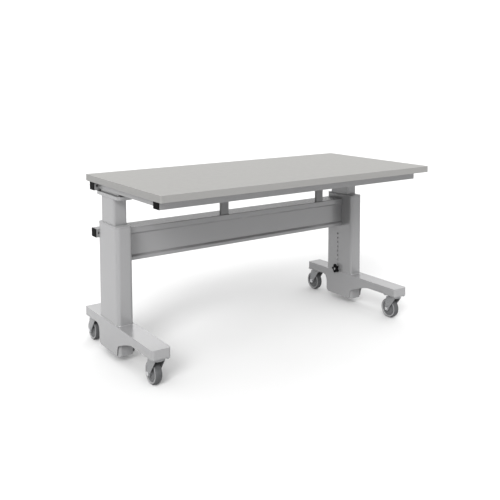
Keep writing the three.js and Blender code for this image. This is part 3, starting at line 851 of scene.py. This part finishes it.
def wheel(name):
    """Tread, a light rim lip on both sides, and a dark centre with concentric steps and a boss."""
    body = BODY_OF[f"{name}_tyre"]
    low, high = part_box(f"{name}_tyre")
    hub_low, hub_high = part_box(f"{name}_wheel_hub")
    centre = middle(low, high)
    radius, half = (high.z - low.z) / 2, (high.x - low.x) / 2
    lip = 45.6 * MM
    tread = [(lip, -half + 1.2 * MM), (lip + 0.6 * MM, -half + 0.5 * MM), (radius - 2.6 * MM, -half + 1.6 * MM),
             (radius - 0.9 * MM, -half + 3.6 * MM), (radius - 0.15 * MM, -half + 7 * MM), (radius, 0)]
    tread += [(r, -x) for r, x in reversed(tread[:-1])]
    piece(f"{name}_tread", turned("tread", tread, "X", centre, 72), body, "tyre", [f"{name}_tyre"], sharp=60)
    core = [(39.5 * MM, -half + 2.4 * MM), (40.6 * MM, -half + 0.5 * MM), (42.5 * MM, -half),
            (44.6 * MM, -half + 0.3 * MM), (lip - 0.1 * MM, -half + 1.6 * MM)]
    core += [(r, -x) for r, x in reversed(core)]
    piece(f"{name}_rim", turned("rim", core, "X", centre, 72), body, "grey_plastic", sharp=60)
    boss = (hub_high.x - hub_low.x) / 2
    bore = 6.4 * MM
    disc = [(bore, -boss), (11 * MM, -boss), (12.5 * MM, -boss + 1.5 * MM), (13 * MM, -half + 5 * MM),
            (20 * MM, -half + 7 * MM), (27 * MM, -half + 7 * MM), (28 * MM, -half + 5.2 * MM),
            (31 * MM, -half + 5.2 * MM), (32 * MM, -half + 7 * MM), (37 * MM, -half + 6 * MM),
            (39.4 * MM, -half + 2.6 * MM)]
    disc += [(r, -x) for r, x in reversed(disc)]
    piece(f"{name}_wheel_centre", turned("disc", disc, "X", centre, 72), body, "hub", [f"{name}_wheel_hub"],
          sharp=45)


def axle(name):
    """Axle bolt with a hexagon head on one side, and a nut on the other."""
    body = BODY_OF[f"{name}_axle"]
    low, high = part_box(f"{name}_axle")
    centre = middle(low, high)
    parts = [turned("shank", [(0, low.x - centre.x + MM), (6 * MM, low.x - centre.x + MM),
                              (6 * MM, high.x - centre.x - 0.4 * MM), (5.2 * MM, high.x - centre.x), (0, high.x - centre.x)],
                    "X", centre, 32)]
    seat = 25.3 * MM
    tall = high.x - centre.x - seat
    parts += hex_head("X", (centre.x - seat, centre.y, centre.z), 17 * MM, tall, -1)
    parts += hex_head("X", (centre.x + seat, centre.y, centre.z), 17 * MM, tall * 0.8, 1)
    piece(f"{name}_axle_bolt", merged("bolt", parts), body, "steel", [f"{name}_axle"], sharp=35)


for side_name in SIDES:
    for end_name in ENDS:
        caster = f"{side_name}_{end_name}"
        caster_plate(caster, "base")
        fork(caster)
        wheel(caster)
        axle(caster)


# ---------------------------------------------------------------- floor, light and camera


def floor():
    """A wide pale floor, far larger than the view."""
    reach = 60.0
    mesh = bpy.data.meshes.new("floor")
    mesh.from_pydata([(-reach, -reach, 0), (reach, -reach, 0), (reach, reach, 0), (-reach, reach, 0)], [],
                     [(0, 1, 2, 3)])
    made = Surface("pale_floor", (0.58, 0.58, 0.58), 0.8, specular=0.1)
    made.shades(made.noise(3, 2), 0.004)
    mesh.materials.append(made.material)
    obj = bpy.data.objects.new("floor", mesh)
    bpy.context.scene.collection.objects.link(obj)


def fade(tree, value, start, end, first, last):
    """Smooth step of a value between two limits."""
    node = tree.nodes.new("ShaderNodeMapRange")
    node.interpolation_type = "SMOOTHSTEP"
    for name, setting in (("From Min", start), ("From Max", end), ("To Min", first), ("To Max", last)):
        node.inputs[name].default_value = setting
    tree.links.new(value, node.inputs["Value"])
    return node.outputs["Result"]


def product(tree, one, other):
    node = tree.nodes.new("ShaderNodeMath")
    node.operation = "MULTIPLY"
    tree.links.new(one, node.inputs[0])
    tree.links.new(other, node.inputs[1])
    return node.outputs["Value"]


def sky():
    """Studio light: strongest overhead, dim at the horizon, a pale wall behind, and plain white in view."""
    world = bpy.data.worlds.new("studio")
    world.use_nodes = True
    tree = world.node_tree
    light = tree.nodes["Background"]
    light.inputs["Strength"].default_value = SKY_STRENGTH
    direction = tree.nodes.new("ShaderNodeTexCoord").outputs["Generated"]
    split = tree.nodes.new("ShaderNodeSeparateXYZ")
    tree.links.new(direction, split.inputs["Vector"])
    ramp = tree.nodes.new("ShaderNodeValToRGB")
    stops = ramp.color_ramp.elements
    stops[0].position, stops[1].position = 0.0, 1.0
    for position, value in SKY:
        stop = stops[0] if position == 0 else stops[-1] if position == 1 else stops.new(position)
        stop.color = (value, value, value, 1)
    tree.links.new(split.outputs["Z"], ramp.inputs["Fac"])
    tree.links.new(ramp.outputs["Color"], light.inputs["Color"])
    backdrop = tree.nodes.new("ShaderNodeBackground")
    backdrop.inputs["Color"].default_value = (1, 1, 1, 1)
    backdrop.inputs["Strength"].default_value = 1.1
    behind = tree.nodes.new("ShaderNodeVectorMath")
    behind.operation = "DOT_PRODUCT"
    behind.inputs[1].default_value = WALL_SIDE
    tree.links.new(direction, behind.inputs[0])
    sideways = fade(tree, behind.outputs["Value"], *WALL_FROM, 0, WALL_STRENGTH)
    rising = fade(tree, split.outputs["Z"], *WALL_BOTTOM, 0, 1)
    falling = fade(tree, split.outputs["Z"], *WALL_TOP, 1, 0)
    both = product(tree, sideways, product(tree, rising, falling))
    wall = tree.nodes.new("ShaderNodeBackground")
    wall.inputs["Color"].default_value = (1, 1, 1, 1)
    tree.links.new(both, wall.inputs["Strength"])
    total = tree.nodes.new("ShaderNodeAddShader")
    tree.links.new(light.outputs["Background"], total.inputs[0])
    tree.links.new(wall.outputs["Background"], total.inputs[1])
    mix = tree.nodes.new("ShaderNodeMixShader")
    path = tree.nodes.new("ShaderNodeLightPath")
    tree.links.new(path.outputs["Is Camera Ray"], mix.inputs["Fac"])
    tree.links.new(total.outputs["Shader"], mix.inputs[1])
    tree.links.new(backdrop.outputs["Background"], mix.inputs[2])
    tree.links.new(mix.outputs["Shader"], tree.nodes["World Output"].inputs["Surface"])
    bpy.context.scene.world = world


def sun(name, toward, strength, spread):
    """A soft distant light that shines along a direction."""
    data = bpy.data.lights.new(name, "SUN")
    data.energy = strength
    data.angle = math.radians(spread)
    obj = bpy.data.objects.new(name, data)
    obj.rotation_euler = Vector(toward).to_track_quat("-Z", "Y").to_euler()
    bpy.context.scene.collection.objects.link(obj)


def camera():
    data = bpy.data.cameras.new("camera")
    data.lens = 51.03
    data.shift_x = -0.048
    data.shift_y = -0.239
    obj = bpy.data.objects.new("camera", data)
    obj.location = (-1.9796, -2.8339, 1.2772)
    obj.rotation_euler = (math.pi / 2 - 0.078, 0, -0.634)
    bpy.context.scene.collection.objects.link(obj)
    bpy.context.scene.camera = obj


SKY_STRENGTH = 1.7
SKY = ((0.0, 0.08), (0.3, 0.3), (0.6, 0.65), (1.0, 0.9))
WALL_SIDE = (0.59, 0.81, 0)
WALL_FROM = (0.1, 0.8)
WALL_BOTTOM = (0.2, 0.42)
WALL_TOP = (0.4, 0.8)
WALL_STRENGTH = 1.9
floor()
sky()
sun("key", (1.7, 1.45, -1.4), 2.6, 25)
sun("front", (0.5, 1.0, -1.15), 1.6, 50)
camera()
bpy.context.scene.view_settings.view_transform = "Standard"
